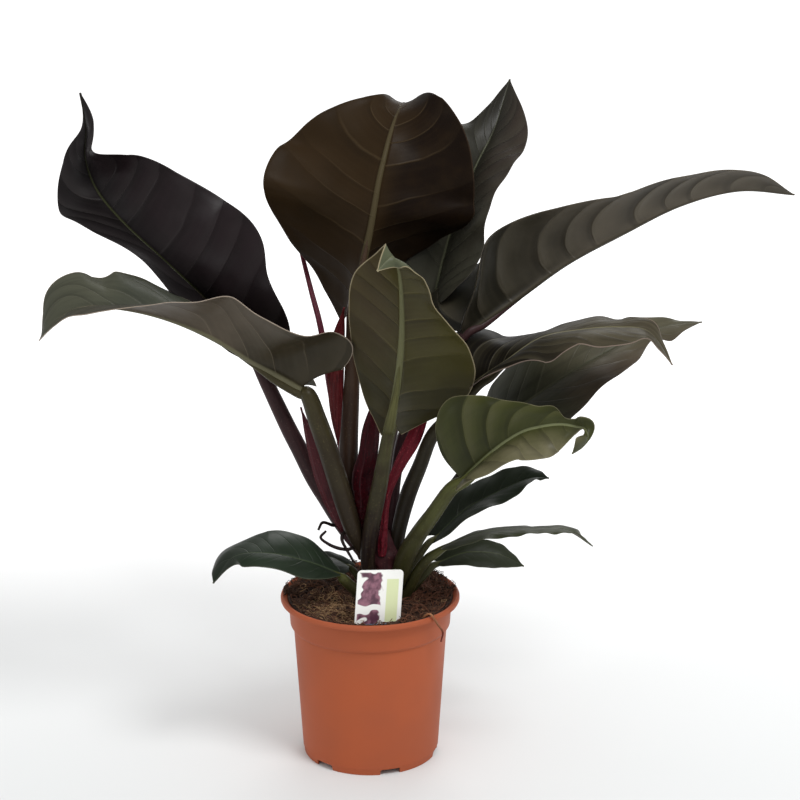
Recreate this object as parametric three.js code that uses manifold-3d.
import * as THREE from "three";
import { mergeVertices } from "three/addons/utils/BufferGeometryUtils.js";
import Module from "manifold-3d";

const wasm = await Module();
wasm.setup();

// Potted philodendron in millimetres. The origin is the middle of the pot's foot, +Z is up, -Y is the front.
const clearance = 0.35;
const petioleGap = 1.5;

const pot = {
  height: 197,
  rimRadius: 105,
  lipHeight: 7,
  collarTopRadius: 95.5,
  collarFootRadius: 94,
  collarFoot: 162,
  shoulderRadius: 90,
  shoulder: 157,
  heelRadius: 80.5,
  heelHeight: 8,
  footRadius: 79,
  wall: 2,
  floorTop: 9,
  floorThickness: 2,
  centrePadRadius: 14,
  sides: 48,
};
const notch = { count: 6, width: 24, height: 7, firstAngle: 17.5 };
const drain = { count: 6, radius: 6, circle: 48 };
const soilLevel = 192;
const soilSpill = { width: 4, rise: 3.5 };
const crownSize = { x: 28, y: 25, bottom: 120, waist: 215, top: 276, centre: [17, 0] };
const label = { width: 55, cardHeight: 72, stakeWidth: 12, stakeLength: 60, corner: 5, thickness: 0.8 };
const labelTurn = { lean: 5, roll: 5.6, yaw: 18, foot: [8.5, -79, 181] };

// Blade thickness at the margin and beside the midrib, and the midrib's half width and depth at the base.
const bladeEdge = 0.9;
const bladeBody = 1.2;
const wideRib = { halfWidth: 6, depth: 5 };
const slimRib = { halfWidth: 3, depth: 3 };
const sheathRib = { halfWidth: 3, depth: 1.4 };
const tipHalfWidth = 1.2;
const baseShare = 0.45;
const baseReach = 0.12;
const lobeReach = 0.16;
const curl = -25;

const wideRows = [0, 0.02, 0.05, 0.1, 0.17, 0.25, 0.33, 0.42, 0.5, 0.58, 0.67, 0.75, 0.83, 0.91, 1];
const curledRows = [...wideRows.slice(0, -3), 0.79, 0.83, 0.87, 0.91, 0.96, 1];
const slimRows = [0, 0.04, 0.12, 0.25, 0.4, 0.55, 0.7, 0.85, 1];

// Each leaf runs from its petiole to its tip. A station is [x, y, z, left half width, left rise,
// right half width, right rise], in millimetres and degrees, and the rise turns that half out of the plane
// of "across" towards the upper face. Lobe and sweep, left then right, are shares of the blade's length.
// A stem point is [x, y, z, radius], from the blade down to the crown.
const leaves = [
  {
    name: "centre_top",
    tone: 0x33261c,
    rib: wideRib,
    rows: curledRows,
    across: [-1, 0, 0],
    lobe: [0.11, 0.08],
    sweep: [0.04, 0.04],
    stations: [
      [-18, 1, 542, 66, 62, 52, 72],
      [-11, 2, 571, 81, 64, 80, 53],
      [-5, 5, 599, 96, 62, 105, 32],
      [1, 10, 626, 111, 45, 122, 16],
      [6, 17, 653, 121, 23, 130, 4],
      [11, 28, 680, 116, 20, 126, 7],
      [17, 41, 704, 104, 12, 112, 9],
      [23, 58, 725, 90, 0, 88, 1],
      [29, 76, 741, 70, -18, 61, -7],
      [34, 92, 750, 47, -28, 36, -20],
      [39, 112, 755, 21, -24, 20, -24],
      [41, 135, 749, 11, -20, 12, -20],
      [43, 160, 735, 0, -20, 0, -20],
    ],
    stem: [
      [-19, 1, 508, 7.5],
      [-20, 2, 453, 9],
      [-24, 3, 385, 11],
      [-24, 5, 329, 11],
      [-19, 6, 282, 10],
      [-6, 4, 240, 8],
    ],
  },
  {
    name: "far_left",
    tone: 0x26222a,
    rib: wideRib,
    rows: wideRows,
    across: [0.75, 0.2, 0.62],
    lobe: [0.12, 0.09],
    sweep: [0.04, -0.05],
    stations: [
      [-137, 26, 485, 72, 90, 80, 44],
      [-182, 49, 532, 82, 72, 98, 44],
      [-232, 56, 579, 82, 78, 102, 0],
      [-281, 74, 621, 72, 60, 90, 2],
      [-315, 98, 656, 44, 18, 74, 22],
      [-330, 118, 690, 22, 6, 46, 64],
      [-330, 129, 725, 4, 4, 24, 62],
      [-336, 136, 764, 0, 0, 0, 36],
    ],
    stem: [
      [-119, 25, 447, 8.3],
      [-95, 20, 395, 9.5],
      [-81, 17, 367, 9.8],
      [-66, 15, 335, 9.9],
      [-51, 14, 309, 9.8],
      [-38, 13, 286, 9.3],
      [-25, 11, 266, 8.5],
      [-10, 6, 246, 7],
    ],
  },
  {
    name: "near_left",
    tone: 0x5a5044,
    rib: wideRib,
    rows: curledRows,
    across: [0, 1, 0],
    lobe: [0.07, 0.1],
    sweep: [0, 0.07],
    stations: [
      [-77, -40, 457, 104, 84, 62, 10],
      [-103, -56, 478, 82, 86, 68, 13],
      [-129, -69, 498, 79, 57, 72, 14],
      [-153, -75, 516, 68, 58, 71, 9],
      [-178, -78, 531, 66, 64, 68, 6],
      [-204, -81, 544, 63, 42, 66, 13],
      [-231, -84, 554, 62, 28, 64, 22],
      [-257, -88, 561, 57, 19, 60, 28],
      [-282, -91, 565, 50, 10, 50, 24],
      [-304, -90, 565, 41, 3, 52, 36],
      [-324, -90, 560, 30, -1, 46, 38],
      [-341, -96, 547, 16, -6, 25, 24],
      [-357, -105, 531, 0, 0, 0, 2],
    ],
    stem: [
      [-68, -41, 450, 9.5],
      [-58, -38, 420, 11],
      [-46, -34, 382, 11.8],
      [-36, -30, 346, 12],
      [-26, -27, 310, 11.5],
      [-17, -24, 280, 10],
      [-5, -16, 252, 7],
    ],
  },
  {
    name: "centre_front",
    tone: 0x4b482d,
    rib: wideRib,
    rows: wideRows,
    across: [-1, 0, 0],
    lobe: [0.07, 0.08],
    sweep: [-0.02, 0.05],
    stations: [
      [23, -60, 419, 66, 56, 44, 74],
      [32, -66, 471, 90, 20, 66, 42],
      [37, -83, 529, 74, -6, 68, 30],
      [37, -100, 580, 42, -26, 60, 32],
      [34, -113, 612, 34, -38, 32, 46],
      [27, -128, 629, 18, -40, 14, 46],
      [11, -139, 616, 0, -16, 0, 16],
    ],
    stem: [
      [24, -58, 418, 7.3],
      [19, -53, 390, 7.8],
      [13, -47, 352, 9],
      [6, -39, 313, 9.5],
      [0, -32, 280, 9],
      [-2, -25, 245, 8.5],
      [4, -15, 205, 8],
    ],
  },
  {
    name: "far_right",
    tone: 0x4b443a,
    rib: wideRib,
    rows: wideRows,
    across: [0.1, -1, 0],
    lobe: [0.08, 0],
    sweep: [0.02, 0.05],
    stations: [
      [105, 7, 509, 80, 34, 86, 32],
      [163, 29, 542, 80, 32, 96, 66],
      [225, 45, 583, 76, 30, 80, 63],
      [289, 53, 616, 66, 24, 63, 54],
      [354, 52, 649, 48, 20, 48, 50],
      [420, 56, 665, 28, 18, 34, 50],
      [486, 67, 658, 0, 10, 0, 48],
    ],
    stem: [
      [74, 17, 454, 6],
      [40, 19, 389, 6.5],
      [30, 17, 337, 7],
      [25, 14, 290, 8],
      [22, 8, 245, 8],
    ],
  },
  {
    name: "back_right",
    tone: 0x3a3c36,
    rib: wideRib,
    rows: wideRows,
    across: [0.9, -0.3, -0.3],
    lobe: [0.08, 0],
    sweep: [0.04, -0.02],
    stations: [
      [74, 90, 523, 70, 22, 76, 70],
      [88, 106, 582, 74, 24, 76, 46],
      [106, 119, 637, 72, 26, 73, 52],
      [126, 137, 682, 58, 22, 65, 42],
      [146, 161, 718, 27, 4, 50, 28],
      [165, 193, 772, 0, -20, 0, 6],
    ],
    stem: [
      [53, 72, 470, 6],
      [30, 54, 396, 6.5],
      [17, 42, 330, 7.5],
      [12, 30, 280, 8],
      [12, 12, 240, 7],
    ],
  },
  {
    name: "front_right",
    tone: 0x464f28,
    rib: wideRib,
    rows: curledRows,
    across: [0.3, -0.85, -0.3],
    lobe: [0, 0.03],
    sweep: [-0.02, 0.02],
    stations: [
      [105, -87, 366, 54, 46, 30, 34],
      [120, -96, 385, 69, 43, 32, 31],
      [136, -104, 403, 77, 39, 41, 20],
      [153, -111, 419, 61, 34, 42, 16],
      [171, -118, 432, 39, 28, 45, 11],
      [188, -128, 440, 25, 25, 44, -1],
      [203, -136, 445, 22, 22, 38, -14],
      [214, -143, 447, 8, 34, 28, -26],
      [224, -150, 447, 8, 54, 6, -46],
      [233, -158, 447, 13, 66, 2, -64],
      [236, -167, 439, 5, 80, 12, -76],
      [229, -172, 430, 2, 84, 18, -80],
      [219, -174, 424, 0, 80, 0, -80],
    ],
    stem: [
      [92, -74, 350, 8.2],
      [73, -58, 316, 9],
      [56, -42, 285, 10],
      [42, -30, 255, 11],
      [34, -20, 225, 10.5],
      [24, -8, 200, 8],
    ],
  },
  {
    name: "mid_right",
    tone: 0x3b3a34,
    rib: wideRib,
    rows: wideRows,
    across: [0.1, -1, 0],
    lobe: [0.11, 0.04],
    sweep: [0.02, 0.02],
    stations: [
      [119, -24, 459, 82, 58, 16, 16],
      [153, -35, 488, 72, 12, 34, 14],
      [191, -36, 516, 56, -14, 60, -12],
      [236, -39, 526, 42, 2, 60, 2],
      [277, -51, 532, 24, 10, 48, -10],
      [311, -58, 528, 18, 28, 28, -14],
      [337, -64, 492, 0, 40, 0, -10],
    ],
    stem: [
      [94, -14, 420, 6.5],
      [72, -10, 394, 8],
      [57, -6, 354, 9],
      [44, -5, 320, 9.8],
      [34, -4, 280, 9],
      [30, -2, 250, 8],
      [24, 0, 220, 7],
    ],
  },
  {
    name: "rear_right",
    tone: 0x34362f,
    rib: wideRib,
    rows: wideRows,
    across: [0.3, -0.9, -0.3],
    lobe: [0.07, 0.1],
    sweep: [0.02, 0.02],
    stations: [
      [157, 33, 402, 76, -10, 60, -6],
      [180, 33, 419, 70, 2, 61, -6],
      [203, 33, 436, 66, 12, 62, -6],
      [226, 34, 452, 60, 17, 58, -4],
      [249, 36, 466, 52, 18, 52, 2],
      [273, 42, 478, 42, 17, 43, 0],
      [296, 49, 489, 32, 14, 34, -4],
      [319, 51, 499, 23, 10, 15, -10],
      [341, 53, 506, 14, 6, 24, -14],
      [363, 55, 509, 7, 3, 10, -10],
      [385, 58, 510, 0, 0, 0, -4],
    ],
    stem: [
      [130, 28, 367, 5.5],
      [99, 25, 324, 6],
      [64, 20, 277, 7],
      [42, 15, 240, 7],
      [28, 9, 205, 7],
    ],
  },
  {
    name: "small_right",
    tone: 0x263226,
    rib: slimRib,
    rows: slimRows,
    across: [0.2, -0.9, -0.3],
    lobe: [0.05, 0.07],
    sweep: [0.02, 0.05],
    stations: [
      [78, 45, 251, 22, 16, 12, 16],
      [113, 59, 280, 28, 16, 20, 4],
      [154, 75, 298, 26, 16, 20, -4],
      [190, 83, 311, 18, 14, 9, 10],
      [213, 80, 312, 0, 14, 0, 18],
    ],
    stem: [
      [70, 36, 247, 4],
      [61, 29, 238, 4.5],
      [50, 19, 224, 5],
      [34, 8, 205, 5],
    ],
  },
  {
    name: "arching_right",
    tone: 0x384030,
    rib: slimRib,
    rows: slimRows,
    across: [0.2, -0.95, 0.2],
    lobe: [0.04, 0.03],
    sweep: [0.05, 0.04],
    stations: [
      [89, -29, 268, 18, -12, 18, -4],
      [136, -42, 289, 24, -4, 22, -14],
      [183, -53, 296, 26, -6, 20, -10],
      [223, -67, 299, 22, 8, 14, -8],
      [252, -84, 286, 0, 30, 0, 8],
    ],
    stem: [
      [76, -27, 256, 5.5],
      [66, -26, 248, 6],
      [55, -22, 231, 6.5],
      [46, -17, 210, 6.5],
      [34, -8, 185, 6],
    ],
  },
  {
    name: "short_right",
    tone: 0x2a3628,
    rib: slimRib,
    rows: slimRows,
    across: [0.1, -0.9, -0.3],
    lobe: [0.05, 0.02],
    sweep: [0.03, 0.04],
    stations: [
      [80, 27, 225, 12, 10, 8, -4],
      [115, 28, 237, 16, 16, 22, -10],
      [153, 31, 233, 16, 18, 20, -12],
      [182, 35, 217, 0, 14, 0, -14],
    ],
    stem: [
      [72, 22, 221, 4.5],
      [62, 14, 212, 4.8],
      [50, 7, 200, 5],
      [36, 2, 182, 5],
    ],
  },
  {
    name: "low_left",
    tone: 0x233024,
    rib: slimRib,
    rows: slimRows,
    across: [-0.1, 0.95, 0.2],
    lobe: [0, 0],
    sweep: [0.02, 0.01],
    stations: [
      [-34, -37, 235, 8, 4, 14, 8],
      [-70, -51, 255, 28, -14, 38, 14],
      [-113, -61, 269, 24, -10, 48, 0],
      [-154, -64, 266, 18, -12, 36, -12],
      [-176, -88, 243, 0, 2, 0, 30],
    ],
    stem: [
      [-31, -34, 228, 6],
      [-24, -32, 220, 6.5],
      [-16, -28, 210, 6.5],
      [-6, -16, 188, 6],
    ],
  },
  {
    name: "low_back",
    tone: 0x233024,
    rib: slimRib,
    rows: slimRows,
    across: [0.1, 0.9, 0.3],
    lobe: [0.04, 0.04],
    sweep: [0.03, 0.03],
    stations: [
      [-24, 25, 221, 20, 0, 8, 8],
      [-50, 38, 228, 20, 0, 9, 4],
      [-77, 54, 216, 14, 0, 9, 4],
      [-100, 69, 197, 0, 0, 0, 4],
    ],
    stem: [
      [-17, 22, 212, 4],
      [-9, 16, 200, 4.5],
      [-2, 8, 176, 5],
    ],
  },
];

// Papery red sheaths that once wrapped a new leaf, standing between the petioles from the crown up.
const sheaths = [
  {
    name: "sheath_centre",
    stations: [
      [-8, -24, 276, 3, -20, 3, -20],
      [-9, -26, 312, 9, -35, 14, -35],
      [-10, -27, 344, 13, -35, 19, -40],
      [-4, -27, 374, 11, -35, 18, -40],
      [0, -20, 405, 9, -30, 15, -35],
      [7, -8, 440, 1, -20, 2, -20],
    ],
  },
  {
    name: "sheath_right",
    stations: [
      [14, -23, 250, 8, -30, 8, -30],
      [17, -23, 290, 5, -30, 5, -30],
      [22, -23, 328, 6, -30, 5, -30],
      [36, -21, 364, 8, -30, 9, -35],
      [52, -12, 394, 9, -25, 11, -35],
      [68, -2, 430, 3, -20, 3, -20],
    ],
  },
  {
    name: "sheath_left",
    stations: [
      [-36, -10, 382, 1, -20, 2, -20],
      [-39, -8, 420, 7, -30, 9, -30],
      [-39, -5, 450, 10, -30, 12, -35],
      [-38, -3, 478, 10, -25, 12, -35],
      [-35, -2, 508, 7, -20, 9, -30],
      [-28, -2, 542, 0, -10, 0, -10],
    ],
  },
  {
    name: "sheath_outer_left",
    stations: [
      [-30, -17, 275, 2, -20, 5, -10],
      [-38, -20, 295, 6, -25, 10, -10],
      [-48, -23, 318, 6, -25, 10, -10],
      [-59, -26, 352, 6, -25, 10, -10],
      [-68, -31, 394, 5, -25, 8, -10],
      [-77, -34, 434, 0, -20, 0, -10],
    ],
  },
];

// The newest leaf is still a thin rolled spear. A point is [x, y, z, radius].
const spear = [
  [4, 15, 236, 5],
  [-11, 26, 272, 4.8],
  [-28, 33, 340, 4.5],
  [-45, 38, 430, 4],
  [-56, 50, 501, 3.6],
  [-68, 70, 544, 3.1],
  [-80, 92, 586, 2.4],
  [-87, 106, 612, 1],
];

const aerialRoots = [
  {
    name: "root_upper_left",
    path: [
      [-34, 8, 276, 1.8],
      [-44, 3, 280, 1.7],
      [-55, 0, 284, 1.6],
      [-60, -3, 276, 1.3],
    ],
  },
  {
    name: "root_lower_left",
    path: [
      [-18, -22, 261, 1.9],
      [-27, -28, 261, 1.9],
      [-39, -31, 265, 1.8],
      [-49, -33, 271, 1.7],
      [-56, -33, 278, 1.6],
      [-50, -31, 285, 1.3],
    ],
  },
  {
    name: "root_short_left",
    path: [
      [-27, -18, 283, 2],
      [-32, -27, 275, 1.9],
      [-27, -30, 263, 1.8],
      [-19, -26, 246, 1.3],
    ],
  },
  {
    name: "root_over_rim",
    path: [
      [56, -62, 184, 1.4],
      [65, -72, 198, 1.4],
      [71, -79, 200.5, 1.3],
      [78, -76, 188, 1.3],
      [84, -70, 176, 1.2],
      [82, -72, 165, 1],
    ],
  },
];

// A row of numbers interpolated smoothly through all stations, with t from 0 to 1.
function along(rows, t) {
  const last = rows.length - 1;
  const x = Math.min(Math.max(t, 0), 1) * last;
  const i = Math.min(Math.floor(x), last - 1);
  const f = x - i;
  return rows[0].map((_, c) => {
    const p1 = rows[i][c];
    const p2 = rows[i + 1][c];
    const p0 = i > 0 ? rows[i - 1][c] : 2 * p1 - p2;
    const p3 = i + 1 < last ? rows[i + 2][c] : 2 * p2 - p1;
    const quadratic = 2 * p0 - 5 * p1 + 4 * p2 - p3;
    const cubic = 3 * p1 - p0 - 3 * p2 + p3;
    return 0.5 * (2 * p1 + (p2 - p0) * f + quadratic * f * f + cubic * f ** 3);
  });
}

function ribPoint(stations, t) {
  return new THREE.Vector3(...along(stations, t));
}

// Where the midrib is at t, and the axes there: forward along the rib, sideways to the right, out of the leaf.
function ribFrame(leaf, t) {
  const step = 1e-3;
  const forward = ribPoint(leaf.stations, Math.max(t + step, 2 * step))
    .sub(ribPoint(leaf.stations, Math.min(t - step, 1 - 2 * step)))
    .normalize();
  const point = ribPoint(leaf.stations, t).addScaledVector(forward, Math.min(t, 0) * leaf.length);
  const side = new THREE.Vector3(...leaf.across);
  side.addScaledVector(forward, -side.dot(forward)).normalize();
  const up = new THREE.Vector3().crossVectors(side, forward);
  return { point, forward, side, up };
}

function ribLength(stations) {
  const steps = 60;
  let length = 0;
  for (let i = 0; i < steps; i++) {
    length += ribPoint(stations, i / steps).distanceTo(ribPoint(stations, (i + 1) / steps));
  }
  return length;
}

// A point of the upper face: t along the midrib, v from -1 at the left margin to 1 at the right one.
function bladePoint(leaf, t, v) {
  const right = v >= 0 ? 1 : 0;
  const sign = right ? 1 : -1;
  const reach = Math.abs(v);
  const row = along(leaf.stations, t);
  const taper = baseShare + (1 - baseShare) * Math.sqrt(1 - Math.max(0, 1 - t / baseReach) ** 2);
  const halfWidth = Math.max(row[3 + 2 * right] * taper, tipHalfWidth);
  const back = leaf.lobe[right] * Math.exp(-((t / lobeReach) ** 2)) * reach ** 1.6;
  const ahead = leaf.sweep[right] * Math.sin(Math.PI * t) * reach ** 1.5;
  const frame = ribFrame(leaf, Math.min(t - back + ahead, 1));
  const bend = THREE.MathUtils.degToRad(curl);
  const start = THREE.MathUtils.degToRad(row[4 + 2 * right]) - bend / 2;
  const end = start + bend * reach;
  const out = ((Math.sin(end) - Math.sin(start)) / bend) * halfWidth * sign;
  const rise = ((Math.cos(start) - Math.cos(end)) / bend) * halfWidth;
  const normal = frame.up
    .clone()
    .multiplyScalar(Math.cos(end))
    .addScaledVector(frame.side, -Math.sin(end) * sign);
  const point = frame.point.addScaledVector(frame.side, out).addScaledVector(frame.up, rise);
  return { point, normal, halfWidth };
}

// Triangles of a closed skin over an upper and a lower grid, split alike on both.
function skinIndices(rowCount, columnCount) {
  const faces = [];
  const lower = rowCount * columnCount;
  const at = (i, j) => i * columnCount + j;
  for (let i = 0; i + 1 < rowCount; i++) {
    for (let j = 0; j + 1 < columnCount; j++) {
      const [a, b, c, d] = [at(i, j), at(i, j + 1), at(i + 1, j + 1), at(i + 1, j)];
      faces.push(a, b, c, a, c, d);
      faces.push(a + lower, c + lower, b + lower, a + lower, d + lower, c + lower);
    }
    const [a, d] = [at(i, 0), at(i + 1, 0)];
    faces.push(a + lower, a, d, a + lower, d, d + lower);
    const [e, f] = [at(i, columnCount - 1), at(i + 1, columnCount - 1)];
    faces.push(e, e + lower, f + lower, e, f + lower, f);
  }
  for (let j = 0; j + 1 < columnCount; j++) {
    const [a, b] = [at(0, j), at(0, j + 1)];
    faces.push(a + lower, b + lower, b, a + lower, b, a);
    const [e, f] = [at(rowCount - 1, j), at(rowCount - 1, j + 1)];
    faces.push(e, f, f + lower, e, f + lower, e + lower);
  }
  return faces;
}

function meshGeometry(positions, faces) {
  const geometry = new THREE.BufferGeometry();
  geometry.setAttribute("position", new THREE.Float32BufferAttribute(positions, 3));
  geometry.setIndex(faces);
  return geometry;
}

// A blade as one thin solid with its midrib standing out below.
function bladeSolid(leaf) {
  const upper = [];
  const lower = [];
  for (const t of leaf.rows) {
    const slim = 1 - 0.75 * t;
    const ribHalf = leaf.rib.halfWidth * slim;
    const leftRib = Math.min(0.3, ribHalf / bladePoint(leaf, t, -1).halfWidth);
    const rightRib = Math.min(0.3, ribHalf / bladePoint(leaf, t, 1).halfWidth);
    for (const v of [-1, -0.55, -leftRib, 0, rightRib, 0.55, 1]) {
      const { point, normal } = bladePoint(leaf, t, v);
      if (v === 0) normal.add(bladePoint(leaf, t, -1e-6).normal).normalize();
      const ridge = Math.max(bladeBody, leaf.rib.depth * slim);
      const thickness = v === 0 ? ridge : Math.abs(v) === 1 ? bladeEdge : bladeBody;
      upper.push(...point);
      lower.push(...point.addScaledVector(normal, -thickness));
    }
  }
  return solidOf(meshGeometry([...upper, ...lower], skinIndices(leaf.rows.length, 7)));
}

// A round stem through [x, y, z, radius] points, with flat ends.
function stemSolid(points, steps, sides) {
  const curve = new THREE.CatmullRomCurve3(points.map((p) => new THREE.Vector3(p[0], p[1], p[2])));
  const frames = curve.computeFrenetFrames(steps, false);
  const positions = [];
  const faces = [];
  for (let i = 0; i <= steps; i++) {
    const centre = curve.getPointAt(i / steps);
    const radius = along(points, curve.getUtoTmapping(i / steps))[3];
    for (let j = 0; j < sides; j++) {
      const angle = (2 * Math.PI * j) / sides;
      const spot = centre
        .clone()
        .addScaledVector(frames.normals[i], radius * Math.cos(angle))
        .addScaledVector(frames.binormals[i], radius * Math.sin(angle));
      positions.push(...spot);
    }
  }
  for (let i = 0; i < steps; i++) {
    for (let j = 0; j < sides; j++) {
      const [a, b] = [i * sides + j, i * sides + ((j + 1) % sides)];
      faces.push(a, b, b + sides, a, b + sides, a + sides);
    }
  }
  const first = positions.length / 3;
  positions.push(...curve.getPointAt(0), ...curve.getPointAt(1));
  for (let j = 0; j < sides; j++) {
    const next = (j + 1) % sides;
    faces.push(first, next, j);
    faces.push(first + 1, steps * sides + j, steps * sides + next);
  }
  return solidOf(meshGeometry(positions, faces));
}

// A closed geometry as a solid, with shared vertices merged and flat triangles left out.
function solidOf(geometry) {
  const bare = geometry.clone();
  bare.deleteAttribute("normal");
  bare.deleteAttribute("uv");
  const merged = mergeVertices(bare, 1e-4);
  const triangles = [];
  for (let i = 0; i < merged.index.count; i += 3) {
    const [a, b, c] = [0, 1, 2].map((k) => merged.index.getX(i + k));
    if (a !== b && b !== c && c !== a) triangles.push(a, b, c);
  }
  const vertProperties = new Float32Array(merged.attributes.position.array);
  return new wasm.Manifold(new wasm.Mesh({ numProp: 3, vertProperties, triVerts: new Uint32Array(triangles) }));
}

function geometryOf(solid) {
  const mesh = solid.getMesh();
  const geometry = meshGeometry(mesh.vertProperties, Array.from(mesh.triVerts));
  geometry.computeVertexNormals();
  return geometry;
}

// The solid with each face moved out by the distance: every vertex moves along the mean of its faces' normals,
// weighted by their corner angles, and further where those faces turn away from that mean.
function grown(solid, distance) {
  const geometry = geometryOf(solid);
  const place = geometry.attributes.position;
  const index = geometry.index.array;
  const sums = Array.from({ length: place.count }, () => new THREE.Vector3());
  const weights = new Array(place.count).fill(0);
  for (let i = 0; i < index.length; i += 3) {
    const corners = [0, 1, 2].map((k) => new THREE.Vector3().fromBufferAttribute(place, index[i + k]));
    const normal = new THREE.Triangle(...corners).getNormal(new THREE.Vector3());
    for (let k = 0; k < 3; k++) {
      const one = corners[(k + 1) % 3].clone().sub(corners[k]);
      const other = corners[(k + 2) % 3].clone().sub(corners[k]);
      const angle = one.angleTo(other);
      sums[index[i + k]].addScaledVector(normal, angle);
      weights[index[i + k]] += angle;
    }
  }
  sums.forEach((sum, i) => {
    const mean = sum.divideScalar(weights[i]);
    const stretch = distance / Math.max(mean.lengthSq(), 0.15);
    place.setXYZ(
      i,
      place.getX(i) + mean.x * stretch,
      place.getY(i) + mean.y * stretch,
      place.getZ(i) + mean.z * stretch,
    );
  });
  return solidOf(geometry);
}

// The largest body that is left of a solid once its neighbours are cut away.
function carved(solid, neighbours) {
  const left = neighbours.reduce((rest, other) => rest.subtract(other), solid);
  return left.decompose().sort((a, b) => b.volume() - a.volume())[0];
}

function latheSolid(profile, sides) {
  const points = profile.map(([radius, z]) => new THREE.Vector2(radius, z));
  return solidOf(new THREE.LatheGeometry(points, sides).rotateX(Math.PI / 2));
}

function wallRadius(z) {
  const share = (z - pot.heelHeight) / (pot.shoulder - pot.heelHeight);
  return pot.heelRadius + (pot.shoulderRadius - pot.heelRadius) * share;
}

function makePot() {
  const top = pot.height;
  const lipFoot = top - pot.lipHeight;
  const floorUnder = pot.floorTop - pot.floorThickness;
  const body = latheSolid(
    [
      [0, floorUnder],
      [pot.footRadius - pot.wall, floorUnder],
      [pot.footRadius - pot.wall - 0.2, 0],
      [pot.footRadius, 0],
      [pot.heelRadius, pot.heelHeight],
      [pot.shoulderRadius, pot.shoulder],
      [pot.collarFootRadius, pot.collarFoot],
      [pot.collarTopRadius, lipFoot - 2],
      [pot.rimRadius - 1.5, lipFoot],
      [pot.rimRadius, lipFoot + 1.5],
      [pot.rimRadius - 0.2, top - 1.5],
      [pot.rimRadius - 2, top],
      [pot.rimRadius - 4, top - 0.3],
      [pot.collarTopRadius - pot.wall + 0.5, lipFoot + 1],
      [pot.collarFootRadius - pot.wall, pot.collarFoot + 1],
      [pot.shoulderRadius - pot.wall, pot.shoulder + 1],
      [wallRadius(pot.floorTop) - pot.wall, pot.floorTop],
      [0, pot.floorTop],
    ],
    pot.sides,
  );
  const pad = new THREE.CylinderGeometry(pot.centrePadRadius, pot.centrePadRadius, floorUnder + 1, 24);
  let made = body.add(solidOf(pad.rotateX(Math.PI / 2).translate(0, 0, (floorUnder + 1) / 2)));
  for (let i = 0; i < notch.count; i++) {
    const angle = THREE.MathUtils.degToRad(notch.firstAngle + (i * 360) / notch.count);
    const cut = new THREE.BoxGeometry(notch.width, 12, 2 * notch.height);
    made = made.subtract(solidOf(cut.translate(0, -pot.footRadius, 0).rotateZ(angle)));
    const hole = new THREE.CylinderGeometry(drain.radius, drain.radius, 20, 12).rotateX(Math.PI / 2);
    made = made.subtract(solidOf(hole.translate(0, -drain.circle, pot.floorTop).rotateZ(angle)));
  }
  return made;
}

// Height of the lumps of coir on the soil, higher at the back, the left, the right back and around the plant.
function soilBump(x, y) {
  const broad = 2.2 * Math.sin(x / 9 + y / 14) * Math.cos(y / 8 - x / 21);
  const small = 1.2 * Math.sin(x / 5) * Math.sin(y / 6);
  const heap = (cx, cy, size) => Math.exp(-((x - cx) ** 2 + (y - cy) ** 2) / size ** 2);
  return broad + small + 0.035 * y + 6 * heap(-78, 22, 24) + 5 * heap(66, 58, 22) + 4 * heap(17, 0, 34);
}

function makeSoil() {
  const gap = clearance + 0.4;
  const innerTop = pot.collarTopRadius - pot.wall - gap;
  const profile = [
    [0, pot.floorTop + clearance],
    [wallRadius(pot.floorTop) - pot.wall - gap, pot.floorTop + clearance],
    [pot.shoulderRadius - pot.wall - gap, pot.shoulder],
    [pot.collarFootRadius - pot.wall - gap, pot.collarFoot + 2],
    [innerTop - 0.5, soilLevel - 2],
    [innerTop + soilSpill.width, soilLevel + soilSpill.rise],
    [innerTop - 1, soilLevel + 1],
    ...[0.9, 0.77, 0.64, 0.5, 0.33, 0.17, 0].map((share) => [(innerTop - 1) * share, soilLevel]),
  ];
  const geometry = new THREE.LatheGeometry(profile.map(([radius, z]) => new THREE.Vector2(radius, z)), 28);
  geometry.rotateX(Math.PI / 2);
  const place = geometry.attributes.position;
  for (let i = 0; i < place.count; i++) {
    if (Math.abs(place.getZ(i) - soilLevel) < 0.5) {
      place.setZ(i, soilLevel + soilBump(place.getX(i), place.getY(i)));
    }
  }
  return solidOf(geometry);
}

// The short stem in the soil that all leaves grow from, with a rounded top.
function makeCrown() {
  const { x, y, bottom, waist, top, centre } = crownSize;
  const steps = 6;
  const profile = [
    [0, bottom],
    [0.5, bottom],
  ];
  for (let i = 0; i < steps; i++) {
    const angle = (i / steps) * (Math.PI / 2);
    profile.push([Math.cos(angle), waist + Math.sin(angle) * (top - waist)]);
  }
  profile.push([0, top]);
  const geometry = new THREE.LatheGeometry(profile.map(([radius, z]) => new THREE.Vector2(radius, z)), 20);
  geometry.rotateX(Math.PI / 2).scale(x, y, 1).translate(...centre, 0);
  return solidOf(geometry);
}

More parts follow.
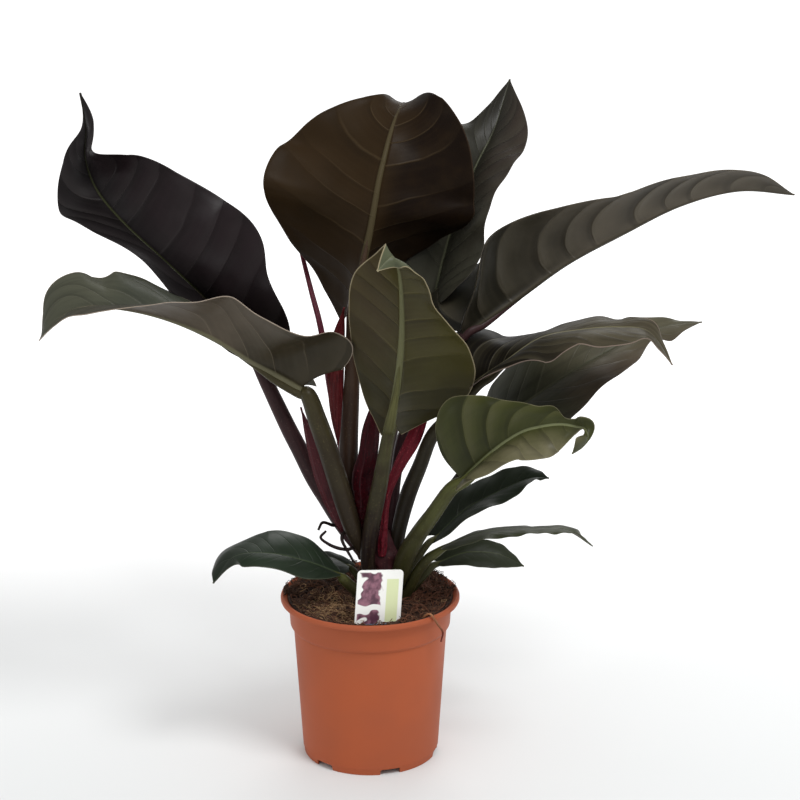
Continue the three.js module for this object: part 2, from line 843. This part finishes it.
// A plain card with round corners on a pointed stake.
function makeLabel() {
  const { corner, thickness: depth } = label;
  const half = label.width / 2;
  const stake = label.stakeWidth / 2;
  const top = label.cardHeight;
  const card = new THREE.Shape();
  card.moveTo(-half + corner, top);
  card.absarc(-half + corner, top - corner, corner, Math.PI / 2, Math.PI, false);
  card.absarc(-half + corner, corner, corner, Math.PI, 1.5 * Math.PI, false);
  card.lineTo(-stake, 0);
  card.lineTo(-stake, stake - label.stakeLength);
  card.lineTo(0, -label.stakeLength);
  card.lineTo(stake, stake - label.stakeLength);
  card.lineTo(stake, 0);
  card.absarc(half - corner, corner, corner, 1.5 * Math.PI, 2 * Math.PI, false);
  card.absarc(half - corner, top - corner, corner, 0, Math.PI / 2, false);
  const geometry = new THREE.ExtrudeGeometry(card, { depth, bevelEnabled: false, curveSegments: 4 });
  const turn = THREE.MathUtils.degToRad;
  geometry.translate(0, 0, -depth / 2).rotateX(Math.PI / 2 - turn(labelTurn.lean));
  geometry.rotateY(turn(labelTurn.roll)).rotateZ(turn(labelTurn.yaw)).translate(...labelTurn.foot);
  return solidOf(geometry);
}

const group = new THREE.Group();
const taken = [];

// Adds a solid as a named mesh, cut clear of the solids before it.
function place(name, solid, color, roughness) {
  const made = carved(solid, taken);
  const material = new THREE.MeshStandardMaterial({ color, roughness, metalness: 0 });
  const mesh = new THREE.Mesh(geometryOf(made), material);
  mesh.name = name;
  group.add(mesh);
  taken.push(grown(made, clearance));
}

place("crown", makeCrown(), 0x54452c, 0.7);
for (const leaf of leaves) {
  leaf.length = ribLength(leaf.stations);
  place(`blade_${leaf.name}`, bladeSolid(leaf), leaf.tone, 0.35);
}
for (const leaf of leaves) {
  const { point, forward, up } = ribFrame(leaf, 0);
  const top = point.addScaledVector(forward, -petioleGap).addScaledVector(up, -leaf.rib.depth / 2);
  const path = [[...top, leaf.stem[0][3] - 1], ...leaf.stem];
  const [steps, sides] = leaf.rib === wideRib ? [10, 9] : [6, 8];
  place(`petiole_${leaf.name}`, stemSolid(path, steps, sides), 0x4a4a2c, 0.45);
}
place("leaf_spear", stemSolid(spear, 9, 6), 0x4e1a2c, 0.4);
for (const sheath of sheaths) {
  const strip = { ...sheath, rib: sheathRib, rows: slimRows, across: [1, 0, 0], lobe: [0, 0], sweep: [0, 0] };
  strip.length = ribLength(strip.stations);
  place(sheath.name, bladeSolid(strip), 0x6e1a30, 0.5);
}
for (const root of aerialRoots) {
  place(root.name, stemSolid(root.path, 8, 6), 0x2a1f1a, 0.8);
}
place("plant_label", makeLabel(), 0xf2efe4, 0.4);
place("soil", makeSoil(), 0x3c2d26, 0.95);
place("pot", makePot(), 0xa85a3e, 0.55);

export default group;
